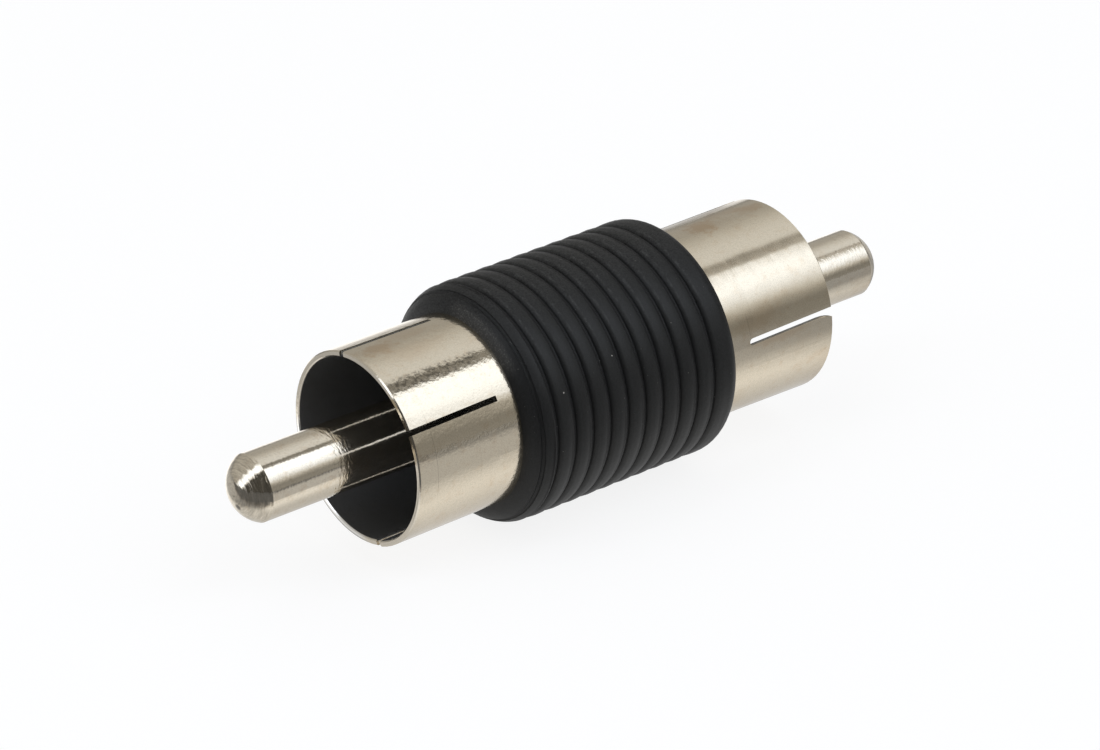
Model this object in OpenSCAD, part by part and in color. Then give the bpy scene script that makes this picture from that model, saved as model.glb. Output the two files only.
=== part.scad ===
// Audio plug coupler: two male phono plugs back to back in one ribbed grip.
// The axis lies along X, the middle of the two contact pins is the origin, and left is -X.
// Both plugs share their parts. The slotted sleeves were pressed home to unequal depths.

/* [Contact pins] */
// Diameter of a contact pin
pin_d = 3.2; // [3:0.01:3.4]
// Distance from the middle of the coupler to the tip of a pin
pin_reach = 18.53; // [17:0.01:20]
// Height of the dome on the tip of a pin
pin_dome_h = 1.02; // [0.6:0.01:1.5]
// Diameter of the neck that passes through the insulator
pin_neck_d = 2.6; // [2.4:0.1:2.8]
// Diameter of the tail that is pressed into the joiner
pin_tail_d = 2; // [1.6:0.1:2.2]

/* [Ground sleeves] */
// Outer diameter of a slotted sleeve
sleeve_d = 9.09; // [8.9:0.01:9.3]
// Wall of a sleeve
sleeve_wall = 0.28; // [0.2:0.01:0.4]
// Length of a sleeve, most of it hidden in the grip
sleeve_len = 9.5; // [9:0.1:10]
// Distance from the middle to the rim of the left sleeve
left_sleeve_reach = 11.76; // [11.5:0.01:12.6]
// Distance from the middle to the rim of the right sleeve
right_sleeve_reach = 12.44; // [11.5:0.01:12.6]
// Length of the saw cuts in the left sleeve
left_slot_len = 4.9; // [4:0.1:5.3]
// Length of the saw cuts in the right sleeve
right_slot_len = 5; // [4:0.1:5.3]
// Width of the cuts in the left sleeve
left_slot_w = 0.27; // [0.2:0.01:0.5]
// Width of the cuts in the right sleeve
right_slot_w = 0.34; // [0.2:0.01:0.5]
// How far the front lower petal of the left sleeve is bent out at the rim
left_splay = 0.05; // [0:0.01:0.2]
// How far the petals of the right sleeve are spread at the rim
right_splay = 0.04; // [0:0.01:0.2]

/* [Grip] */
// Diameter over the ribs
grip_d = 11.3; // [11:0.01:12]
// Length of the grip
grip_len = 11.9; // [11.8:0.1:13]
// Number of grooves around the grip
groove_count = 10; // [6:1:10]
// Distance from one groove to the next
groove_pitch = 1.014; // [0.9:0.001:1.02]
// Depth of a groove below the crest of the ribs
groove_depth = 0.2; // [0.15:0.01:0.3]
// How far the band of grooves sits off the middle
groove_shift = -0.12; // [-0.2:0.01:0.2]
// Width of a rib over its rounded sides
rib_w = 0.99; // [0.8:0.01:1]
// Radius of the crown across a rib
rib_crown_r = 1; // [0.8:0.1:2]
// Radius of the rounded sides of a rib
rib_side_r = 0.3; // [0.2:0.01:0.35]
// Rounding of the left end, which is worn soft
left_round = 1.3; // [0.5:0.1:1.9]
// Rounding of the right end
right_round = 0.7; // [0.5:0.1:1.9]
// Distance from the left end to the shallow groove in its rounding
end_groove_in = 0.5; // [0.4:0.01:0.6]

/* [Core] */
// Wall of the ground tube that both sleeves are pressed on
tube_wall = 0.6; // [0.4:0.05:0.8]
// Length of the ground tube
tube_len = 8.8; // [8.4:0.1:9.2]
// Thickness of the insulator's flange, whose face is the floor of the cup
flange_t = 0.6; // [0.4:0.1:0.8]
// Outer diameter of the joiner
joiner_d = 3.6; // [3.2:0.1:4]
// Length of the joiner between the two insulators
joiner_len = 3.6; // [3:0.1:4.4]

/* [Hidden] */
$fn = 96;

black_plastic = "#1c1c1e";
black_nylon = "#111112";
nickel = "#c3bcae";
brass = "#c9a24a";

pin_r = pin_d / 2;
pin_neck_r = pin_neck_d / 2;
pin_tail_r = pin_tail_d / 2;
// Radius of the sphere that the dome is cut from, which leaves a slight corner at its foot
pin_dome_r = (pow(pin_r, 2) + pow(pin_dome_h, 2)) / (2 * pin_dome_h);
pin_dome_foot = pin_reach - pin_dome_h;
// Gap between the two tails inside the joiner
tail_gap = 0.2;

sleeve_r = sleeve_d / 2;
sleeve_bore_r = sleeve_r - sleeve_wall;
// Directions of the four cuts, which two passes of a saw left uneven
cut_angles = [0, 70.5, 180, 257.3];
// Tilt of each cut from the axis
cut_tilts = [1.2, -0.9, 1.2, -0.9];
// Turn of each sleeve, which sets where its first cut faces
left_turn = 32;
right_turn = 349.3;
// The cut of the right sleeve that has the filed corner beside it
filed_cut = 2;
rim_bevel = 0.06;
// Height above the root of the cuts at which the petals start to lean
hinge_up = 0.4;
// The corner of one petal of the right sleeve is filed to an arc
corner_len = 0.8;
corner_arc_r = 2;
// Height above the root of a cut of the point that it is tilted about
tilt_pivot = 2.5;

tube_r = sleeve_bore_r;
tube_bore_r = tube_r - tube_wall;
tube_bevel = 0.15;
cup_floor = tube_len / 2 + flange_t;

grip_r = grip_d / 2;
grip_half = grip_len / 2;
// How far a rib's rounded side stands out of the crown where they meet, as a faint edge
rib_edge = 0.003;
// Centre of a rib's rounded side, and where it meets the crown
rib_side_z = rib_w / 2 - rib_side_r;
rib_side_inner = sqrt(pow(rib_crown_r - rib_side_r, 2) - pow(rib_side_z, 2));
rib_side_centre = grip_r - rib_crown_r + rib_side_inner + rib_edge;
rib_meet_z = rib_side_z * rib_crown_r / (rib_crown_r - rib_side_r);
// Radius across the shallow groove, and how far its centre stands off the rounded end
end_groove_r = 0.11;
end_groove_out = 0.03;
joiner_r = joiner_d / 2;
joiner_half = joiner_len / 2;
lead_in = 0.1;

// Turns a part that was made along Z, so that it points along +X
module to_right() {
    rotate([90, 0, 90])
        children();
}

// The same part turned end for end, so that it points along -X
module to_left() {
    rotate([0, 0, 180])
        to_right()
            children();
}

// Half section of a tube between two heights, for revolving
module wall_section(inner_r, outer_r, low, high) {
    translate([inner_r, low])
        square([outer_r - inner_r, high - low]);
}

// Half section of the grip's end: an arc from the crest down to the end face
module end_section(round_r) {
    arc_z = grip_half - round_r;
    arc_r = grip_r - round_r;
    square([grip_r, arc_z]);
    square([arc_r, grip_half]);
    translate([arc_r, arc_z])
        circle(round_r);
}

// Half section of one rib: a crown that runs into two rounded sides
module rib_section() {
    intersection() {
        translate([grip_r - rib_crown_r, 0])
            circle(rib_crown_r);
        translate([0, -rib_meet_z])
            square([grip_r, 2 * rib_meet_z]);
    }
    for (side = [-1, 1])
        translate([rib_side_centre, side * rib_side_z])
            circle(rib_side_r);
    translate([0, -rib_w / 2])
        square([rib_side_centre, rib_w]);
}

// Half section of the ribbed barrel, whose first and last rib run on to the ends
module barrel_section() {
    band_half = groove_count * groove_pitch / 2;
    translate([0, -grip_half - 1])
        square([grip_r - groove_depth, grip_len + 2]);
    for (i = [0 : groove_count])
        translate([0, groove_shift - band_half + i * groove_pitch])
            rib_section();
    translate([0, groove_shift + band_half])
        square([grip_r, grip_half]);
    translate([0, groove_shift - band_half - grip_half])
        square([grip_r, grip_half]);
}

// Half section of the shallow groove that runs round the soft left end
module end_groove_section() {
    drop = max(left_round - end_groove_in, 0);
    surface_r = grip_r - left_round + sqrt(pow(left_round, 2) - pow(drop, 2));
    translate([surface_r + end_groove_out, end_groove_in - grip_half])
        circle(end_groove_r);
}

// Moulded grip, open at both ends for the sleeves, with a belt that locks it between them
module grip() {
    left_end = sleeve_len - left_sleeve_reach;
    right_end = right_sleeve_reach - sleeve_len;
    color(black_plastic)
        to_right()
            rotate_extrude()
                difference() {
                    intersection() {
                        union() {
                            end_section(right_round);
                            mirror([0, 1])
                                end_section(left_round);
                        }
                        barrel_section();
                    }
                    end_groove_section();
                    translate([-grip_r, -grip_len])
                        square([grip_r + tube_r, 2 * grip_len]);
                    wall_section(0, sleeve_r, right_end, grip_len);
                    wall_section(0, sleeve_r, -grip_len, left_end);
                }
}

// Brass tube that carries the ground from one sleeve to the other
module ground_tube() {
    half = tube_len / 2;
    color(brass)
        to_right()
            rotate_extrude()
                polygon([
                    [tube_bore_r, -half],
                    [tube_r - tube_bevel, -half],
                    [tube_r, -half + tube_bevel],
                    [tube_r, half - tube_bevel],
                    [tube_r - tube_bevel, half],
                    [tube_bore_r, half]
                ]);
}

// Sleeve before it is cut: straight up to the hinge of the petals, then leaning out by spread
module sleeve_body(reach, hinge, spread) {
    rotate_extrude()
        polygon([
            [sleeve_bore_r, reach - sleeve_len],
            [sleeve_r, reach - sleeve_len],
            [sleeve_r, hinge],
            [sleeve_r + spread, reach - rim_bevel],
            [sleeve_r + spread - rim_bevel, reach],
            [sleeve_bore_r + spread + rim_bevel, reach],
            [sleeve_bore_r + spread, reach - rim_bevel],
            [sleeve_bore_r, hinge]
        ]);
}

// Wedge of space around one petal, from a height upward and under half a turn wide
module petal_space(turn, sweep, low) {
    side = 2 * sleeve_d;
    rotate([0, 0, turn])
        translate([0, 0, low])
            linear_extrude(sleeve_len)
                polygon([
                    [0, 0],
                    [side, 0],
                    [side * cos(sweep / 2), side * sin(sweep / 2)],
                    [side * cos(sweep), side * sin(sweep)]
                ]);
}

// Outline of the closed end of a cut: a half circle in short flats, or square
function cut_end(width, is_round) =
    is_round
        ? [for (a = [180 : 30 : 360]) [width / 2 * cos(a), width / 2 * (1 + sin(a))]]
        : [[-width / 2, 0], [width / 2, 0]];

// Carries an outline that was drawn on a sleeve's wall, measured from the root of a cut, out through it
module through_wall(root, turn, tilt) {
    rotate([0, 0, turn])
        rotate([90, 0, 90])
            translate([0, root + tilt_pivot, tube_bore_r])
                linear_extrude(sleeve_r)
                    rotate(tilt)
                        translate([0, -tilt_pivot])
                            children();
}

// A saw cut through one wall, as wide as the blade and open at the rim
module saw_cut(root, length, turn, tilt, width, is_round) {
    through_wall(root, turn, tilt)
        polygon(concat(
            cut_end(width, is_round),
            [[width / 2, length + 1], [-width / 2, length + 1]]
        ));
}

// Takes the corner off the petal beside a cut, along an arc that leaves the cut smoothly
module corner_cut(root, length, turn, tilt, width) {
    start = length - corner_len;
    through_wall(root, turn, tilt)
        difference() {
            translate([0, start])
                square([width, corner_len + 1]);
            translate([width / 2 + corner_arc_r, start])
                circle(corner_arc_r);
        }
}

// Slotted sleeve pointing along Z, whose last petal may be bent out further than the others
module sleeve(reach, turn, length, width, is_round, spread, bend) {
    root = reach - length;
    hinge = root + hinge_up;
    bent_turn = turn + cut_angles[3];
    bent_sweep = 360 - cut_angles[3];
    difference() {
        union() {
            difference() {
                sleeve_body(reach, hinge, spread);
                if (bend > 0)
                    petal_space(bent_turn, bent_sweep, hinge);
            }
            if (bend > 0)
                intersection() {
                    sleeve_body(reach, hinge, spread + bend);
                    petal_space(bent_turn, bent_sweep, hinge - hinge_up / 2);
                }
        }
        for (i = [0 : len(cut_angles) - 1])
            saw_cut(root, length, turn + cut_angles[i], cut_tilts[i], width, is_round);
    }
}

// Left ground sleeve, with square cuts and one petal bent out
module left_sleeve() {
    color(nickel)
        to_left()
            sleeve(left_sleeve_reach, left_turn, left_slot_len, left_slot_w, false, 0, left_splay);
}

// Right ground sleeve, with round-ended cuts and all petals spread a little
module right_sleeve() {
    root = right_sleeve_reach - right_slot_len;
    turn = right_turn + cut_angles[filed_cut];
    color(nickel)
        to_right()
            difference() {
                sleeve(right_sleeve_reach, right_turn, right_slot_len, right_slot_w, true, right_splay, 0);
                corner_cut(root, right_slot_len, turn, cut_tilts[filed_cut], right_slot_w);
            }
}

// Insulator pointing along Z: a flange on the tube's end, a body in its bore and a stepped hole
module insulator() {
    color(black_nylon)
        rotate_extrude()
            polygon([
                [joiner_r, 0],
                [tube_bore_r, 0],
                [tube_bore_r, tube_len / 2],
                [sleeve_bore_r, tube_len / 2],
                [sleeve_bore_r, cup_floor - lead_in],
                [sleeve_bore_r - lead_in, cup_floor],
                [pin_neck_r, cup_floor],
                [pin_neck_r, joiner_half],
                [joiner_r, joiner_half]
            ]);
}

// Insulator that closes the left end of the ground tube
module left_insulator() {
    to_left()
        insulator();
}

// Insulator that closes the right end of the ground tube
module right_insulator() {
    to_right()
        insulator();
}

// Turned pin pointing along Z: tail, neck, shank with its shoulder on the cup floor, and dome
module pin() {
    color(nickel)
        rotate_extrude()
            union() {
                polygon([
                    [0, tail_gap / 2],
                    [pin_tail_r - lead_in, tail_gap / 2],
                    [pin_tail_r, tail_gap / 2 + lead_in],
                    [pin_tail_r, joiner_half],
                    [pin_neck_r, joiner_half],
                    [pin_neck_r, cup_floor],
                    [pin_r, cup_floor],
                    [pin_r, pin_dome_foot],
                    [0, pin_dome_foot]
                ]);
                intersection() {
                    translate([0, pin_reach - pin_dome_r])
                        circle(pin_dome_r);
                    translate([0, pin_dome_foot])
                        square([pin_r, pin_dome_h]);
                }
            }
}

// Centre contact of the left plug
module left_pin() {
    to_left()
        pin();
}

// Centre contact of the right plug
module right_pin() {
    to_right()
        pin();
}

// Brass ferrule that both tails are pressed into, held between the insulators
module pin_joiner() {
    color(brass)
        to_right()
            rotate_extrude()
                polygon([
                    [pin_tail_r, -joiner_half],
                    [joiner_r, -joiner_half],
                    [joiner_r, joiner_half],
                    [pin_tail_r, joiner_half]
                ]);
}

grip();
ground_tube();
left_sleeve();
right_sleeve();
left_insulator();
right_insulator();
left_pin();
right_pin();
pin_joiner();
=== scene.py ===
import math
from collections import namedtuple

import bpy
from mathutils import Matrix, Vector


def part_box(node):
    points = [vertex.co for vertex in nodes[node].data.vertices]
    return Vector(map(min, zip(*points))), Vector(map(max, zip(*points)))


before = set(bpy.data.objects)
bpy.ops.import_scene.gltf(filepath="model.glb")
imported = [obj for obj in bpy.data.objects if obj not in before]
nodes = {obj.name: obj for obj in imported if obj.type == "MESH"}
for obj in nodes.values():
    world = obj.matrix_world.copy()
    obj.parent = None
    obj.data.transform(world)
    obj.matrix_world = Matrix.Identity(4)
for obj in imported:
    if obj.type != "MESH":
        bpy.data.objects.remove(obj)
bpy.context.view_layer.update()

MM = 0.001

# Sizes of the coupler in millimetres, from the frame
GRIP_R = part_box("grip")[1].z / MM
LEFT_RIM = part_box("left_sleeve")[0].x / MM
RIGHT_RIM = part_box("right_sleeve")[1].x / MM
PIN_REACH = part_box("right_pin")[1].x / MM
# Height of the floor in metres: the coupler lies on its grip
FLOOR_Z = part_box("grip")[0].z

# Sizes of the coupler in millimetres, the same as in part.scad
DOME_H = 1.02
SLEEVE_R = 4.545
BORE_R = 4.265
GROOVE_PITCH = 1.014
GROOVE_SHIFT = -0.12
GROOVE_X = GROOVE_SHIFT + GROOVE_PITCH / 2
END_GROOVE_X = -5.45

# Camera, where the photographer stood: place and focal length in millimetres, angles in degrees
CAMERA_PLACE = (-138.38, -168.93, 114.0)
CAMERA_HEADING = 39.18
CAMERA_TILT = 27.61
CAMERA_LENS = 177.2

# Colours, linear
NICKEL = (0.70, 0.62, 0.487)
NICKEL_STAIN = (0.56, 0.41, 0.26)
NICKEL_FLECK = (0.50, 0.43, 0.33)
INSIDE_SHADE_GREY = (0.1, 0.1, 0.1)
CUT_SHADE = (0.16, 0.14, 0.11)
CUT_LIGHT = (0.28, 0.27, 0.24)
RIM_HIGHLIGHT = (0.97, 0.95, 0.91)
PIN_NICKEL = (0.75, 0.675, 0.55)
CHARCOAL = (0.0135, 0.0135, 0.0135)
CHARCOAL_LOW = tuple(0.85 * part for part in CHARCOAL)
CHARCOAL_HIGH = tuple(1.2 * part for part in CHARCOAL)
CHARCOAL_GROOVE_SHADE = (0.0115, 0.0115, 0.0115)
CHARCOAL_RUBBED_SHEEN = (0.05, 0.05, 0.05)
CHARCOAL_GLOSS = (1.0, 0.985, 0.93)
DUST = (0.48, 0.45, 0.40)
BLACK_NYLON = (0.09, 0.09, 0.09)
BRASS = (0.62, 0.45, 0.20)
WHITE = (1, 1, 1)
PAPER = (0.86, 0.86, 0.86)
CORNER_BROWN = (1, 0.84, 0.68)

# Roughness of each material, and how far that of the metals spreads with their blotches
SLEEVE_ROUGH = 0.13
INSIDE_ROUGH = 0.5
PIN_ROUGH = 0.12
BRASS_ROUGH = 0.25
GRIP_ROUGH = 0.48
NYLON_ROUGH = 0.45
METAL_SPREAD = 0.08

# Depths of the fine relief, in metres
PLATE_GRAIN = 0.0075 * MM
BRASS_GRAIN = 0.0016 * MM
PLATE_WAVES = 0.006 * MM
PLATE_RINGS = 0.0006 * MM
TOOL_MARKS = 0.010 * MM
GRIP_GRAIN = 0.011 * MM
GRIP_WAVES = 0.01 * MM
NYLON_GRAIN = 0.003 * MM

# Windows round the X axis: middle, half width and soft edge in degrees. The back is at 0, the top at
# 90, the front at 180 and the underside at 270
RIM_LOW_BACK = (310.0, 40.0, 12.0)
RIM_FRONT = (175.0, 25.0, 10.0)
TOP_CUT = (76.0, 10.0, 6.0)
LOW_CUT = (262.0, 14.0, 6.0)
REFLECTION_BAND_ROUND = (120.5, 3.0, 2.5)
DOME_FRONT = (140.0, 32.0, 20.0)
# Top of the ribs, where their rubbed edges carry a painted sheen
RIBS_TOP = (100.0, 28.0, 15.0)
END_FACE_TOP = (110.0, 20.0, 12.0)

# Windows along the axis, in millimetres, in the same order
REFLECTION_BAND_ALONG = (-9.2, 2.1, 0.6)
BAND = (GROOVE_SHIFT, 5.1, 0.1)
END_GROOVE = (END_GROOVE_X, 0.06, 0.08)
# Windows of the distance from the axis, in millimetres
RIM_LINE = (4.46, 0.01, 0.03)
END_FACE = (4.85, 0.25, 0.35)
# Windows of the distance from the middle of the nearest groove, in millimetres: painted shade in the
# grooves, rubbed edges with a painted sheen, and painted shade on one side of each groove
GROOVE = (0.0, 0.03, 0.1)
RIB_SHOULDER = (0.2, 0.02, 0.06)
GROOVE_LEE_SHADE = (-0.2, 0.08, 0.12)

# Soft edges, each from where a thing is absent to where it is full. By x or its size, in millimetres
DOME_EDGE = (PIN_REACH - DOME_H, PIN_REACH - DOME_H + 0.15)
GRAIN_EDGE = (7.0, -4.0)
LEFT_END_EDGE = (-4.9, -5.6)
LEFT_FACE_EDGE = (-5.6, -5.8)
# By the distance from the axis, in millimetres
SKIN_EDGE = (SLEEVE_R - 0.02, SLEEVE_R - 0.06)
INSIDE_EDGE = (BORE_R + 0.1, BORE_R + 0.06)
DOME_RING_EDGE = (0.55, 1.0)
# By the distance from the nearer rim of the sleeves, in millimetres
RIM_EDGE = (0.07, 0.03)
CUT_EDGE = (0.08, 0.14)
# By the turn, in degrees
TOP_EDGE = (130.0, 95.0)
LEE_BACK_EDGE = (105.0, 90.0)
LEE_FRONT_EDGE = (165.0, 185.0)

# Tarnish on the sleeves: x and turn of its middle, half its spread in each, and strength
STAINS = [
    (8.5, 86, 1.1, 11, 0.75), (11.5, 85, 0.9, 7, 0.55), (10.2, 78, 1.6, 6, 0.3), (-10.4, 90, 1.1, 8, 0.6),
    (-8.6, 84, 1.5, 8, 0.3), (-9.2, 102, 2.0, 9, 0.25), (9.2, 172, 2.2, 5, 0.4), (8.2, 158, 1.6, 7, 0.3),
]
# Edge of a stain as a share of its spread, and how far the blotches make it ragged
STAIN_EDGE = (1.1, 0.3)
STAIN_RAGGED = 2.2
# Marks that run along the sleeves: x and turn of the middle, half length, half width, and brightness
DRAWN_LINES = [
    (-9.0, 167.6, 3.4, 0.7, 1.10), (-9.0, 165.4, 3.4, 1.1, 0.90), (-8.8, 183.0, 3.4, 0.5, 1.06),
    (9.4, 187.0, 3.0, 0.5, 1.07), (9.4, 185.2, 3.0, 0.8, 0.94), (-9.8, 154.0, 2.6, 0.4, 1.07),
]
# Length over which the ends of these lines fade, in millimetres
LINE_FADE = 1.0
# Scratches that run round the sleeves: x and turn of the middle, half length, half width, and brightness
ROUND_SCRATCHES = [
    (-10.73, 166, 33, 0.035, 0.80), (-7.1, 160, 16, 0.03, 0.90), (-8.3, 176, 20, 0.025, 0.92),
    (7.5, 160, 9, 0.05, 0.84),
]
# Width that the tool moved on with each turn when it cut the domes, and how many streaks it left in a
# millimetre and in a degree
TOOL_PITCH = 0.22
STREAKS_OUTWARD = 14.0
STREAKS_ROUND = 0.03
# A dark spot on the left dome: its middle, and its edge by the distance from there
DOME_SPOT = (-18.42, -0.2, -0.55)
SPOT_EDGE = (0.22, 0.08)
# Specks of dust on the grip: x, turn and radius
DUST_SPECKS = [(-4.1, 155.5, 0.05), (-1.02, 147.5, 0.04)]

# Radius of the light tent, in metres
TENT_R = 0.45
# Brightness of its cloth in the middle and toward the right end, by the angle round the X axis from
# the back (0) over the top (90) to the front (180)
TENT_MIDDLE = [
    (0, 0.30), (10, 0.43), (20, 0.45), (34, 0.46), (46, 0.56), (58, 0.71), (70, 0.81), (84, 0.86),
    (89, 0.84), (98, 1.75), (130, 1.6), (142, 1.25), (150, 0.90), (158, 0.50), (167, 0.28), (180, 0.32),
]
TENT_RIGHT = [(0, 0.7), (12, 0.5), (30, 0.12), (150, 0.1), (165, 0.2), (180, 0.25)]
# Brightness toward the left end, where a lamp hangs over the top: by the place across it, 0 to 1
TENT_LEFT = [(0.0, 0.075), (0.375, 0.075), (0.44, 1.9), (0.55, 1.7), (0.61, 0.5), (1.0, 0.42)]
# Where the left and right cloth take over from the middle, by x as a share of the tent's radius
TENT_LEFT_EDGE = (-0.1, -0.4)
TENT_RIGHT_EDGE = (0.65, 0.85)
# The dark gap behind the lamp: middle, half width and soft edge in degrees, and how dark it is
TENT_GAP = (97.3, 5.1, 3.5)
TENT_GAP_DEPTH = 0.84
# Toward the right end the gap is a long slope instead: where it starts, and its two edges in degrees
SLOPE_START = (0.57, 0.615)
SLOPE_BACK_EDGE = (88, 95)
SLOPE_FRONT_EDGE = (122, 102)
# Tints of the tent's darker and brighter parts: the lamps are cooler than what they light
TENT_SHADE = (1.0, 0.985, 0.94)
TENT_LAMP = (1.0, 1.08, 1.22)

# Strength of the floor's white, plain and as the metal mirrors it, and its share beside the paper's own
FLOOR_PLAIN = 1.08
FLOOR_MIRRORED = 1.12
FLOOR_GLOW = 0.8
# Share of light that the mirrored floor loses at each of its places. Less than 0 is light gained
FLOOR_LOSS = {
    "front": 0.5, "near_pin": 0.22, "left": 0.68, "corner": 0.95, "right": 0.44,
    "back": -0.3, "far": 0.3, "behind": 0.5, "past_pin": 0.6,
}
# Share that it loses close under the coupler, and how much more of it under each sleeve
UNDER_LOSS = 0.27
UNDER_LEFT_MORE = 0.12
UNDER_RIGHT_MORE = 0.09
# Distance of a pin's end from the middle, rounded, from which the floor's places are measured
FLOOR_END = 18.0

# Where a point is: its vector, its x, y and z, its distance from the axis, and its turn round it
Place = namedtuple("Place", "point x y z radius turn")


class Recipe:
    """One material's node tree. Each call adds nodes and returns their output."""

    def __init__(self, name):
        self.material = bpy.data.materials.new(name)
        self.material.use_nodes = True
        self.tree = self.material.node_tree
        self.tree.nodes.clear()

    def add(self, kind, inputs=None, out=0, **settings):
        node = self.tree.nodes.new(kind)
        for name, value in settings.items():
            setattr(node, name, value)
        for name, value in (inputs or {}).items():
            self.put(node.inputs[name], value)
        return node.outputs[out]

    def put(self, socket, value):
        if isinstance(value, bpy.types.NodeSocket):
            self.tree.links.new(value, socket)
        elif isinstance(value, (tuple, list)) and len(value) == 3 and socket.type == "RGBA":
            socket.default_value = (*value, 1)
        else:
            socket.default_value = value

    def math(self, operation, a, b=0.0):
        return self.add("ShaderNodeMath", {0: a, 1: b}, operation=operation)

    def plus(self, a, b):
        return self.math("ADD", a, b)

    def minus(self, a, b):
        return self.math("SUBTRACT", a, b)

    def over(self, a, b):
        return self.math("DIVIDE", a, b)

    def absolute(self, value):
        return self.math("ABSOLUTE", value)

    def times(self, product, *others):
        for other in others:
            product = self.math("MULTIPLY", product, other)
        return product

    def larger(self, largest, *others):
        for other in others:
            largest = self.math("MAXIMUM", largest, other)
        return largest

    def length(self, a, b):
        """The distance that a and b make at a right angle."""
        return self.math("SQRT", self.plus(self.times(a, a), self.times(b, b)))

    def wrapped(self, value):
        """How far the value is past the nearest whole number, -0.5 to 0.5."""
        return self.add("ShaderNodeMath", {0: value, 1: 0.5, 2: -0.5}, operation="WRAP")

    def step(self, value, none, full):
        """0 where the value is at none or beyond it, 1 from full on, and smooth between the two."""
        inputs = {"Value": value, "From Min": none, "From Max": full}
        return self.add("ShaderNodeMapRange", inputs, interpolation_type="SMOOTHSTEP")

    def window(self, value, middle, half, soft):
        """1 within half of the middle, falling smoothly to 0 over the soft distance beyond it."""
        return self.step(self.absolute(self.minus(value, middle)), half + soft, half)

    def vector(self, x, y, z):
        return self.add("ShaderNodeCombineXYZ", {"X": x, "Y": y, "Z": z})

    def noise(self, vector, scale, detail=2.0, rough=0.5, distortion=0.0):
        """Soft cells of 0 to 1, about as many as the scale says in each unit of the vector."""
        inputs = {"Vector": vector, "Scale": scale, "Detail": detail, "Roughness": rough,
                  "Distortion": distortion}
        return self.add("ShaderNodeTexNoise", inputs)

    def centred(self, noise):
        """The noise moved down, so that its middle is 0."""
        return self.minus(noise, 0.5)

    def between(self, low, high, share):
        """The low value where the share is 0 and the high one where it is 1."""
        return self.plus(low, self.times(share, high - low))

    def varied(self, value, noise, spread):
        """The value, moved down and up by the noise over that spread."""
        return self.between(value - spread / 2, value + spread / 2, noise)

    def ramp(self, value, stops):
        """Brightness by the value, smooth between stops of place and level."""
        node = self.tree.nodes.new("ShaderNodeValToRGB")
        self.put(node.inputs["Fac"], value)
        elements = node.color_ramp.elements
        while len(elements) < len(stops):
            elements.new(0.5)
        for element, (place, level) in zip(elements, stops):
            element.position = place
            element.color = (level, level, level, 1)
        return node.outputs["Color"]

    def mix(self, share, a, b):
        """Colour a where the share is 0 and colour b where it is 1."""
        inputs = {"Factor": share, "A": a, "B": b}
        return self.add("ShaderNodeMix", inputs, out="Result", data_type="RGBA")

    def mix_levels(self, share, a, b):
        """The same for two plain numbers."""
        return self.add("ShaderNodeMix", {"Factor": share, "A": a, "B": b})

    def cover(self, colour, other, where, strength):
        """The colour, covered by the other one to that strength where the share is 1."""
        return self.mix(self.times(where, strength), colour, other)

    def tint(self, colour, where, level):
        """The colour, made lighter or darker by the level where the share is 1."""
        factor = self.between(1.0, level, where)
        return self.add("ShaderNodeVectorMath", {0: colour, "Scale": factor}, operation="SCALE")

    def bump(self, height, depth, below=None):
        inputs = {"Height": height, "Strength": 1.0, "Distance": depth}
        if below is not None:
            inputs["Normal"] = below
        return self.add("ShaderNodeBump", inputs)

    def place(self):
        """Where the point is on the coupler, in millimetres of its own frame, and its turn in degrees."""
        point = self.add("ShaderNodeTexCoord", out="Object")
        point = self.add("ShaderNodeVectorMath", {0: point, "Scale": 1 / MM}, operation="SCALE")
        split = self.tree.nodes.new("ShaderNodeSeparateXYZ")
        self.put(split.inputs[0], point)
        x, y, z = split.outputs
        radians = self.math("ARCTAN2", self.times(z, -1.0), self.times(y, -1.0))
        turn = self.plus(self.times(radians, 180 / math.pi), 180.0)
        return Place(point, x, y, z, self.length(y, z), turn)

    def surface(self, shader):
        output = self.tree.nodes.new("ShaderNodeOutputMaterial")
        self.tree.links.new(shader, output.inputs["Surface"])
        return self.material

    def principled(self, **inputs):
        """Closes the recipe with a Principled shader, its inputs named with _ for a space."""
        inputs = {name.replace("_", " "): value for name, value in inputs.items()}
        return self.surface(self.add("ShaderNodeBsdfPrincipled", inputs))


def set_material(obj, material):
    obj.data.materials.clear()
    obj.data.materials.append(material)


def metal_colour(r, at, colour):
    """Clouds, blotches and flecks of tarnish. Returns the colour and the blotches."""
    cloud = r.noise(at.point, 0.35, detail=3.0, rough=0.6, distortion=0.6)
    blotch = r.noise(at.point, 2.2, detail=4.0, rough=0.65)
    fleck = r.noise(at.point, 16.0, detail=3.0, rough=0.7)
    colour = r.cover(colour, NICKEL_STAIN, r.step(cloud, 0.52, 0.78), strength=0.3)
    colour = r.cover(colour, NICKEL_STAIN, r.step(blotch, 0.5, 0.75), strength=0.3)
    colour = r.cover(colour, NICKEL_FLECK, r.step(fleck, 0.42, 0.72), strength=0.25)
    return r.tint(colour, r.centred(fleck), level=1.7), blotch


def metal_relief(r, at, grain, depth):
    """Grain of that depth, soft waves and faint rings."""
    normal = r.bump(grain, depth)
    normal = r.bump(r.noise(at.point, 1.1, detail=1.0), PLATE_WAVES, normal)
    rings = r.vector(r.times(at.x, 9.0), r.times(at.y, 0.15), 0.0)
    return r.bump(r.noise(rings, 1.0, detail=3.0, rough=0.6), PLATE_RINGS, normal)


def turned_grain(r, at):
    """Grain that is short along the axis and drawn out across it."""
    stretch = (1.6, 0.625, 0.625)
    point = r.add("ShaderNodeVectorMath", {0: at.point, 1: stretch}, operation="MULTIPLY")
    return r.noise(point, 5.0, rough=0.55)


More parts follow.
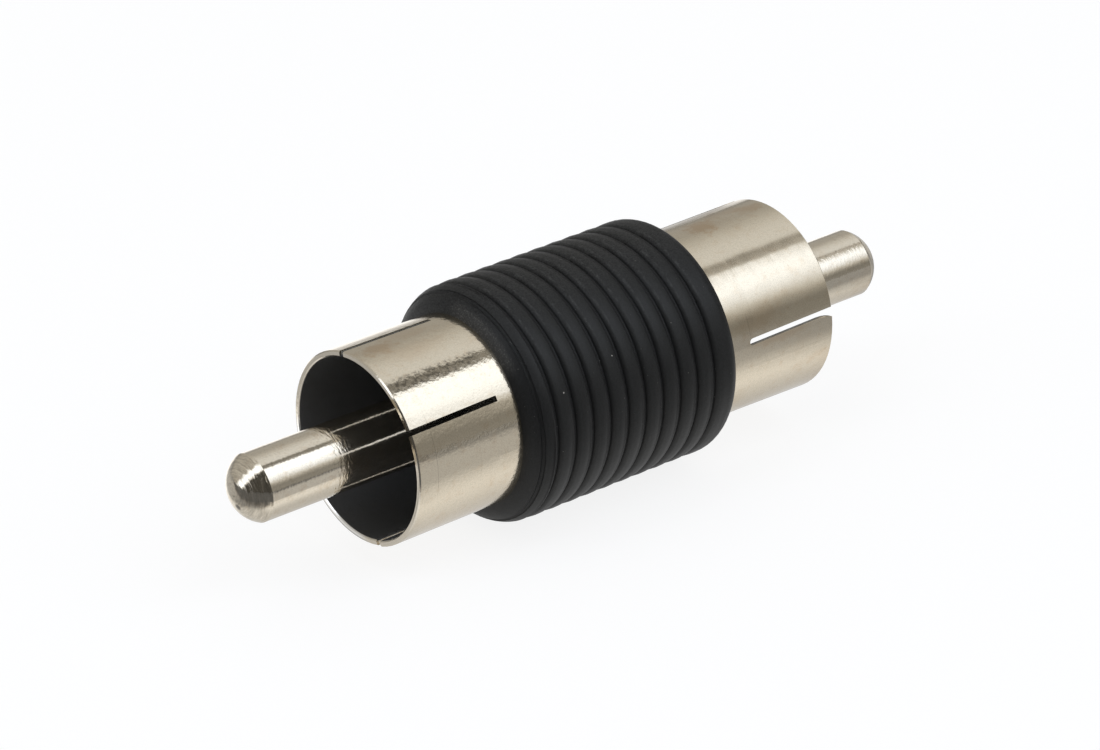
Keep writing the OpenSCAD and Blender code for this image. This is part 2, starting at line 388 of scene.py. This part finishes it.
def tarnish(r, at, colour, ragged):
    """Stains of both sleeves, each at its own place, with ragged edges."""
    for x_mid, turn_mid, x_half, turn_half, strength in STAINS:
        along = r.over(r.minus(at.x, x_mid), x_half)
        round_it = r.over(r.minus(at.turn, turn_mid), turn_half)
        off = r.plus(r.length(along, round_it), r.times(r.centred(ragged), STAIN_RAGGED))
        colour = r.cover(colour, NICKEL_STAIN, r.step(off, *STAIN_EDGE), strength)
    return colour


def scratches(r, at, colour, ragged):
    """Drawn lines along both sleeves, and broken scratches round them."""
    for x_mid, turn_mid, x_half, turn_half, level in DRAWN_LINES:
        along = r.window(at.x, x_mid, x_half - LINE_FADE, LINE_FADE)
        across = r.window(at.turn, turn_mid, 0.0, turn_half)
        colour = r.tint(colour, r.times(along, across), level)
    for x_mid, turn_mid, turn_half, x_half, level in ROUND_SCRATCHES:
        across = r.window(at.x, x_mid, 0.0, x_half)
        along = r.window(at.turn, turn_mid, turn_half / 2, turn_half / 2)
        colour = r.tint(colour, r.times(across, along, r.step(ragged, 0.3, 0.5)), level)
    return colour


def painted_reflection_band(r, at, colour):
    """Dark cells painted in a short band along the left sleeve, as a painted reflection of the tent's dark
    gap.
    """
    band = r.times(r.window(at.turn, *REFLECTION_BAND_ROUND), r.window(at.x, *REFLECTION_BAND_ALONG))
    cells = r.step(r.noise(at.point, 5.0, rough=0.6), 0.42, 0.62)
    return r.tint(colour, r.times(band, cells), level=0.52)


def sleeve_regions(r, at):
    """Where a sleeve is its rim, the wall of a saw cut, and its inside."""
    from_rim = r.math("MINIMUM", r.minus(at.x, LEFT_RIM), r.minus(RIGHT_RIM, at.x))
    rim = r.step(from_rim, *RIM_EDGE)
    cut_wall = r.times(r.step(at.radius, *SKIN_EDGE), r.step(from_rim, *CUT_EDGE))
    inside = r.times(r.step(at.radius, *INSIDE_EDGE), r.minus(1.0, rim))
    return rim, cut_wall, inside


def rim_highlight(r, at, colour, rim):
    """Painted highlight on the rims, most of all low at the back, and a painted dark line that runs round in
    it.
    """
    low_back = r.window(at.turn, *RIM_LOW_BACK)
    highlight = r.between(0.2, 0.9, low_back)
    colour = r.mix(r.times(rim, highlight), colour, RIM_HIGHLIGHT)
    # Painted dark line in the rim's highlight, as the edge's reflection shows it
    line = r.larger(low_back, r.times(r.window(at.turn, *RIM_FRONT), 0.5))
    return r.tint(colour, r.times(rim, line, r.window(at.radius, *RIM_LINE)), level=0.4)


def cut_colour(r, at, blotch, top_cut):
    """Walls of the saw cuts: painted shade with lighter blotches, lighter in the top cut, and a painted
    highlight in the lowest cut.
    """
    light = r.larger(r.step(blotch, 0.42, 0.55), r.times(top_cut, 0.4))
    return r.mix(r.window(at.turn, *LOW_CUT), r.mix(light, CUT_SHADE, CUT_LIGHT), RIM_HIGHLIGHT)


def sleeve_nickel():
    """Nickel plate, tarnished and scratched outside, with painted highlights on the rims, a painted
    reflection band, painted shade on the cut walls, and a dull dark grey inside that stands for the shade
    there.
    """
    r = Recipe("sleeve_nickel")
    at = r.place()
    rim, cut_wall, inside = sleeve_regions(r, at)
    top_cut = r.window(at.turn, *TOP_CUT)
    colour, blotch = metal_colour(r, at, NICKEL)
    colour = tarnish(r, at, colour, blotch)
    colour = scratches(r, at, colour, blotch)
    # Painted highlight on the rims
    colour = rim_highlight(r, at, colour, rim)
    # Painted reflection: dark cells where the left sleeve mirrors the tent's dark gap
    colour = painted_reflection_band(r, at, colour)
    # Painted shade on the walls of the saw cuts, and a painted highlight in the lowest cut
    colour = r.mix(cut_wall, colour, cut_colour(r, at, blotch, top_cut))
    # Painted shade: a dull dark grey inside the sleeve
    colour = r.mix(inside, colour, INSIDE_SHADE_GREY)
    dull = r.larger(inside, r.times(cut_wall, top_cut))
    rough = r.varied(SLEEVE_ROUGH, blotch, METAL_SPREAD)
    rough = r.larger(rough, r.times(inside, INSIDE_ROUGH))
    grain_on_the_left = r.times(r.noise(at.point, 5.0, rough=0.55), r.step(at.x, *GRAIN_EDGE))
    normal = metal_relief(r, at, grain_on_the_left, PLATE_GRAIN)
    metal = r.between(1.0, 0.1, dull)
    return r.principled(Base_Color=colour, Metallic=metal, Roughness=rough, Normal=normal)


def dome_marks(r, at, colour, rough, normal):
    """Marks of the tool on the dome's front, streaks round it, and one dark spot."""
    dome = r.step(r.absolute(at.x), *DOME_EDGE)
    from_valley = r.wrapped(r.plus(r.over(at.radius, TOOL_PITCH), r.noise(at.point, 1.3, detail=1.0)))
    scallop = r.times(from_valley, from_valley, 4.0)
    front = r.times(r.step(at.radius, *DOME_RING_EDGE), r.window(at.turn, *DOME_FRONT))
    normal = r.bump(r.times(scallop, dome, front), TOOL_MARKS, normal)
    streaks = r.vector(r.times(at.radius, STREAKS_OUTWARD), r.times(at.turn, STREAKS_ROUND), 0.0)
    streaks = r.noise(streaks, 1.0, rough=0.6)
    colour = r.tint(colour, r.times(r.centred(streaks), dome), level=2.0)
    rough = r.plus(rough, r.times(r.step(streaks, 0.5, 0.7), dome, 0.14))
    spot = r.add("ShaderNodeVectorMath", {0: at.point, 1: DOME_SPOT}, out=1, operation="DISTANCE")
    return r.tint(colour, r.step(spot, *SPOT_EDGE), level=0.25), rough, normal


def pin_nickel():
    """Nickel plate over a turned pin."""
    r = Recipe("pin_nickel")
    at = r.place()
    colour, blotch = metal_colour(r, at, PIN_NICKEL)
    rough = r.varied(PIN_ROUGH, blotch, METAL_SPREAD)
    normal = metal_relief(r, at, turned_grain(r, at), PLATE_GRAIN)
    colour, rough, normal = dome_marks(r, at, colour, rough, normal)
    return r.principled(Base_Color=colour, Metallic=1.0, Roughness=rough, Normal=normal)


def core_brass():
    """Turned brass, closed in by the other pieces."""
    r = Recipe("core_brass")
    at = r.place()
    colour, blotch = metal_colour(r, at, BRASS)
    rough = r.varied(BRASS_ROUGH, blotch, METAL_SPREAD)
    normal = metal_relief(r, at, turned_grain(r, at), BRASS_GRAIN)
    return r.principled(Base_Color=colour, Metallic=1.0, Roughness=rough, Normal=normal)


def rib_regions(r, at):
    """Where the ribs' edges are rubbed and carry a painted sheen on top, where painted shade lies on one
    side of the grooves, and where painted shade fills the grooves.
    """
    pitches = r.over(r.minus(at.x, GROOVE_X), GROOVE_PITCH)
    off_groove = r.times(r.wrapped(pitches), GROOVE_PITCH)
    band = r.window(at.x, *BAND)
    patches = r.step(r.noise(at.point, 3.0, detail=3.0, rough=0.6), 0.35, 0.65)
    # Rubbed rib edges, lighter only on the ribs' top: wear and a painted sheen
    rubbed_sheen = r.times(r.window(off_groove, *RIB_SHOULDER), band, r.window(at.turn, *RIBS_TOP), patches)
    # Painted shade on one side of each groove, at the back and underside of the grip
    shaded = r.larger(r.step(at.turn, *LEE_BACK_EDGE), r.step(at.turn, *LEE_FRONT_EDGE))
    lee_shade = r.times(shaded, r.window(off_groove, *GROOVE_LEE_SHADE), band)
    # Painted shade in the grooves and in the end groove: darker and less glossy there
    end_groove = r.times(r.window(at.x, *END_GROOVE), 0.8)
    groove_shade = r.larger(r.times(r.window(off_groove, *GROOVE), band), end_groove)
    return rubbed_sheen, lee_shade, groove_shade


def dusty(r, at, colour, broken):
    """Single specks of dust, a sprinkle of fine ones, and powder on the left end face."""
    for x_mid, turn_mid, size in DUST_SPECKS:
        along = r.minus(at.x, x_mid)
        round_it = r.times(r.minus(at.turn, turn_mid), math.pi / 180 * GRIP_R)
        colour = r.mix(r.step(r.length(along, round_it), size, size * 0.4), colour, DUST)
    fine = r.step(r.noise(at.point, 9.0, detail=1.0, rough=0.4), 0.78, 0.82)
    colour = r.cover(colour, DUST, fine, strength=0.2)
    end_face = r.times(r.window(at.radius, *END_FACE), r.window(at.turn, *END_FACE_TOP),
                       r.step(at.x, *LEFT_FACE_EDGE))
    powder = r.between(0.05, 0.15, r.step(broken, 0.55, 0.66))
    return r.mix(r.times(end_face, powder), colour, DUST)


def grip_shine(r, at, rubbed_sheen, lee_shade, groove_shade):
    """Gloss of the moulded plastic: more on rubbed edges, less in the grooves and at the left end."""
    left_end = r.times(r.step(at.x, *LEFT_END_EDGE), 0.1)
    lost = r.larger(r.times(groove_shade, 0.2), left_end, r.times(lee_shade, 0.45))
    return r.times(r.minus(1.0, lost), r.between(0.3, 0.42, rubbed_sheen))


def moulded_grip():
    """Matte charcoal plastic with a fine grain, painted shade in and beside the grooves, rubbed rib edges
    with a painted sheen, and specks of dust.
    """
    r = Recipe("grip_plastic")
    at = r.place()
    cloud = r.noise(at.point, 0.8, detail=4.0, rough=0.6)
    broken = r.noise(at.point, 14.0, rough=0.6)
    rubbed_sheen, lee_shade, groove_shade = rib_regions(r, at)
    colour = r.mix(cloud, CHARCOAL_LOW, CHARCOAL_HIGH)
    # Rubbed rib edges with a painted sheen on the top
    colour = r.cover(colour, CHARCOAL_RUBBED_SHEEN, rubbed_sheen, strength=0.22)
    # Painted shade on one side of each groove
    colour = r.tint(colour, lee_shade, level=0.6)
    colour = r.tint(colour, r.centred(broken), level=2.2)
    # Painted shade in the grooves
    colour = r.mix(groove_shade, colour, CHARCOAL_GROOVE_SHADE)
    colour = dusty(r, at, colour, broken)
    towards_top = r.step(at.turn, *TOP_EDGE)
    glints = r.plus(1.0, r.times(r.centred(broken), towards_top, 2.5))
    shine = r.times(grip_shine(r, at, rubbed_sheen, lee_shade, groove_shade), glints)
    grain = r.times(r.noise(at.point, 10.0, detail=3.0, rough=0.65), r.between(0.45, 1.45, towards_top))
    normal = r.bump(r.noise(at.point, 1.6), GRIP_WAVES, r.bump(grain, GRIP_GRAIN))
    rough = r.varied(GRIP_ROUGH, cloud, spread=0.12)
    return r.principled(Base_Color=colour, Roughness=rough, Specular_IOR_Level=shine,
                        Specular_Tint=CHARCOAL_GLOSS, Normal=normal)


def insulator_plastic():
    """Plain black nylon with a fine grain."""
    r = Recipe("insulator_plastic")
    grain = r.noise(r.place().point, 6.0, detail=3.0, rough=0.6)
    rough = r.varied(NYLON_ROUGH, grain, spread=0.1)
    return r.principled(Base_Color=BLACK_NYLON, Roughness=rough, Normal=r.bump(grain, NYLON_GRAIN))


def dress_coupler():
    sleeve = sleeve_nickel()
    pin = pin_nickel()
    core = core_brass()
    insulator = insulator_plastic()
    looks = {
        "grip": moulded_grip(),
        "ground_tube": core,
        "left_sleeve": sleeve,
        "right_sleeve": sleeve,
        "left_insulator": insulator,
        "right_insulator": insulator,
        "left_pin": pin,
        "right_pin": pin,
        "pin_joiner": core,
    }
    for name, look in looks.items():
        set_material(nodes[name], look)


def tent_cloth():
    """Cloth that glows, brighter and darker by the place, as the photographer's lamps lit it."""
    r = Recipe("tent_cloth")
    at = r.place()
    tent_r = TENT_R / MM
    side = r.over(at.x, tent_r)
    angle = r.times(r.math("ARCTAN2", at.z, at.y), 180 / math.pi)
    half_turn = r.over(angle, 180.0)
    middle = r.ramp(half_turn, [(place / 180, level) for place, level in TENT_MIDDLE])
    right = r.ramp(half_turn, [(place / 180, level) for place, level in TENT_RIGHT])
    across_lamp = r.plus(r.over(at.y, 2 * tent_r), r.over(at.z, 4 * tent_r))
    left = r.ramp(r.plus(across_lamp, 0.3), TENT_LEFT)
    gap = r.times(r.window(angle, *TENT_GAP), TENT_GAP_DEPTH)
    slope = r.between(0.14, 0.64, r.step(angle, *SLOPE_FRONT_EDGE))
    slope = r.times(slope, r.step(angle, *SLOPE_BACK_EDGE))
    gap = r.mix_levels(r.step(side, *SLOPE_START), gap, slope)
    level = r.mix(r.step(side, *TENT_LEFT_EDGE), r.times(middle, r.minus(1.0, gap)), left)
    level = r.mix(r.step(side, *TENT_RIGHT_EDGE), level, right)
    tone = r.mix(r.step(level, 0.4, 1.4), TENT_SHADE, TENT_LAMP)
    return r.surface(r.add("ShaderNodeEmission", {"Color": tone, "Strength": level}))


def light_tent():
    """A closed tent round the coupler, which the camera looks through."""
    bpy.ops.mesh.primitive_uv_sphere_add(segments=96, ring_count=48, radius=TENT_R, location=(0, 0, 0))
    tent = bpy.context.object
    tent.name = "light_tent"
    tent.visible_camera = False
    set_material(tent, tent_cloth())


def shade_under(r, at):
    """Share of light lost close under the coupler."""
    left = r.times(r.step(at.x, -8.5, -10.5), UNDER_LEFT_MORE)
    right = r.times(r.step(at.x, 5.0, 9.0), UNDER_RIGHT_MORE)
    return r.times(r.step(r.absolute(at.y), 7.0, 2.5), r.plus(r.plus(left, right), UNDER_LOSS))


def floor_places(r, at):
    """Where the mirrored floor is darker or brighter than its white, each 0 to 1. x and y are in mm."""
    past_left_end = r.minus(-FLOOR_END, at.x)
    past_right_end = r.minus(at.x, FLOOR_END)
    to_left = r.plus(past_left_end, r.times(r.absolute(at.y), 0.35))
    to_corner = r.plus(r.times(past_left_end, 0.8), r.times(at.y, -0.6))
    to_right = r.minus(r.times(past_right_end, 0.3), at.y)
    # The x at which a line that slants across the floor meets the axis
    slant_x = r.minus(at.x, r.times(at.y, 0.7))
    return {
        "front": r.step(at.y, -6.2, -14.0),
        "near_pin": r.times(r.step(at.x, -6.0, -9.0), r.window(at.y, -9.0, 1.0, 1.2)),
        "left": r.step(to_left, 3.5, 6.5),
        "corner": r.step(to_corner, 4.5, 9.0),
        "right": r.times(r.step(to_right, 3.8, 7.6), r.step(at.x, 10.0, 24.0)),
        "back": r.times(r.step(at.y, 6.0, 12.0), r.step(at.y, 60.0, 30.0)),
        "far": r.step(at.y, 40.0, 110.0),
        "behind": r.times(r.window(slant_x, 7.5, 4.0, 2.0), r.step(at.y, 14.0, 20.0)),
        "past_pin": r.times(r.step(slant_x, 18.5, 23.0), r.step(at.y, -2.0, 3.0)),
    }


def floor_paper():
    """White paper that keeps shadows. Its darker and brighter places show only where metal mirrors it."""
    r = Recipe("floor_paper")
    at = r.place()
    paths = r.tree.nodes.new("ShaderNodeLightPath").outputs
    mirrors = r.larger(paths["Is Glossy Ray"], paths["Is Transmission Ray"])
    seen = r.larger(paths["Is Camera Ray"], mirrors)
    places = floor_places(r, at)
    lit = r.times(FLOOR_MIRRORED, r.minus(1.0, shade_under(r, at)))
    for name, where in places.items():
        lit = r.times(lit, r.minus(1.0, r.times(where, FLOOR_LOSS[name])))
    tone = r.mix(places["corner"], WHITE, CORNER_BROWN)
    mirrored = r.add("ShaderNodeEmission", {"Color": tone, "Strength": lit})
    plain = r.add("ShaderNodeEmission", {"Color": WHITE, "Strength": FLOOR_PLAIN})
    glow = r.add("ShaderNodeMixShader", {0: paths["Is Glossy Ray"], 1: plain, 2: mirrored})
    paper = r.add("ShaderNodeBsdfDiffuse", {"Color": PAPER})
    return r.surface(r.add("ShaderNodeMixShader", {0: r.times(seen, FLOOR_GLOW), 1: paper, 2: glow}))


def pale_floor():
    bpy.ops.mesh.primitive_circle_add(vertices=96, radius=TENT_R, fill_type="NGON", location=(0, 0, FLOOR_Z))
    floor = bpy.context.object
    floor.name = "floor"
    set_material(floor, floor_paper())


def white_world():
    world = bpy.data.worlds.new("white")
    bpy.context.scene.world = world
    world.use_nodes = True
    background = world.node_tree.nodes["Background"]
    background.inputs["Color"].default_value = (1, 1, 1, 1)
    background.inputs["Strength"].default_value = 1.0


def camera():
    data = bpy.data.cameras.new("camera")
    data.lens = CAMERA_LENS
    data.clip_start = 0.01
    data.clip_end = 10
    obj = bpy.data.objects.new("camera", data)
    bpy.context.scene.collection.objects.link(obj)
    heading = math.radians(CAMERA_HEADING)
    tilt = math.radians(CAMERA_TILT)
    level_part = math.cos(tilt)
    ahead = Vector((math.sin(heading) * level_part, math.cos(heading) * level_part, -math.sin(tilt)))
    obj.location = Vector(CAMERA_PLACE) * MM
    obj.rotation_mode = "QUATERNION"
    obj.rotation_quaternion = ahead.to_track_quat("-Z", "Y")
    bpy.context.scene.camera = obj


dress_coupler()
light_tent()
pale_floor()
white_world()
camera()
bpy.context.scene.view_settings.view_transform = "Standard"
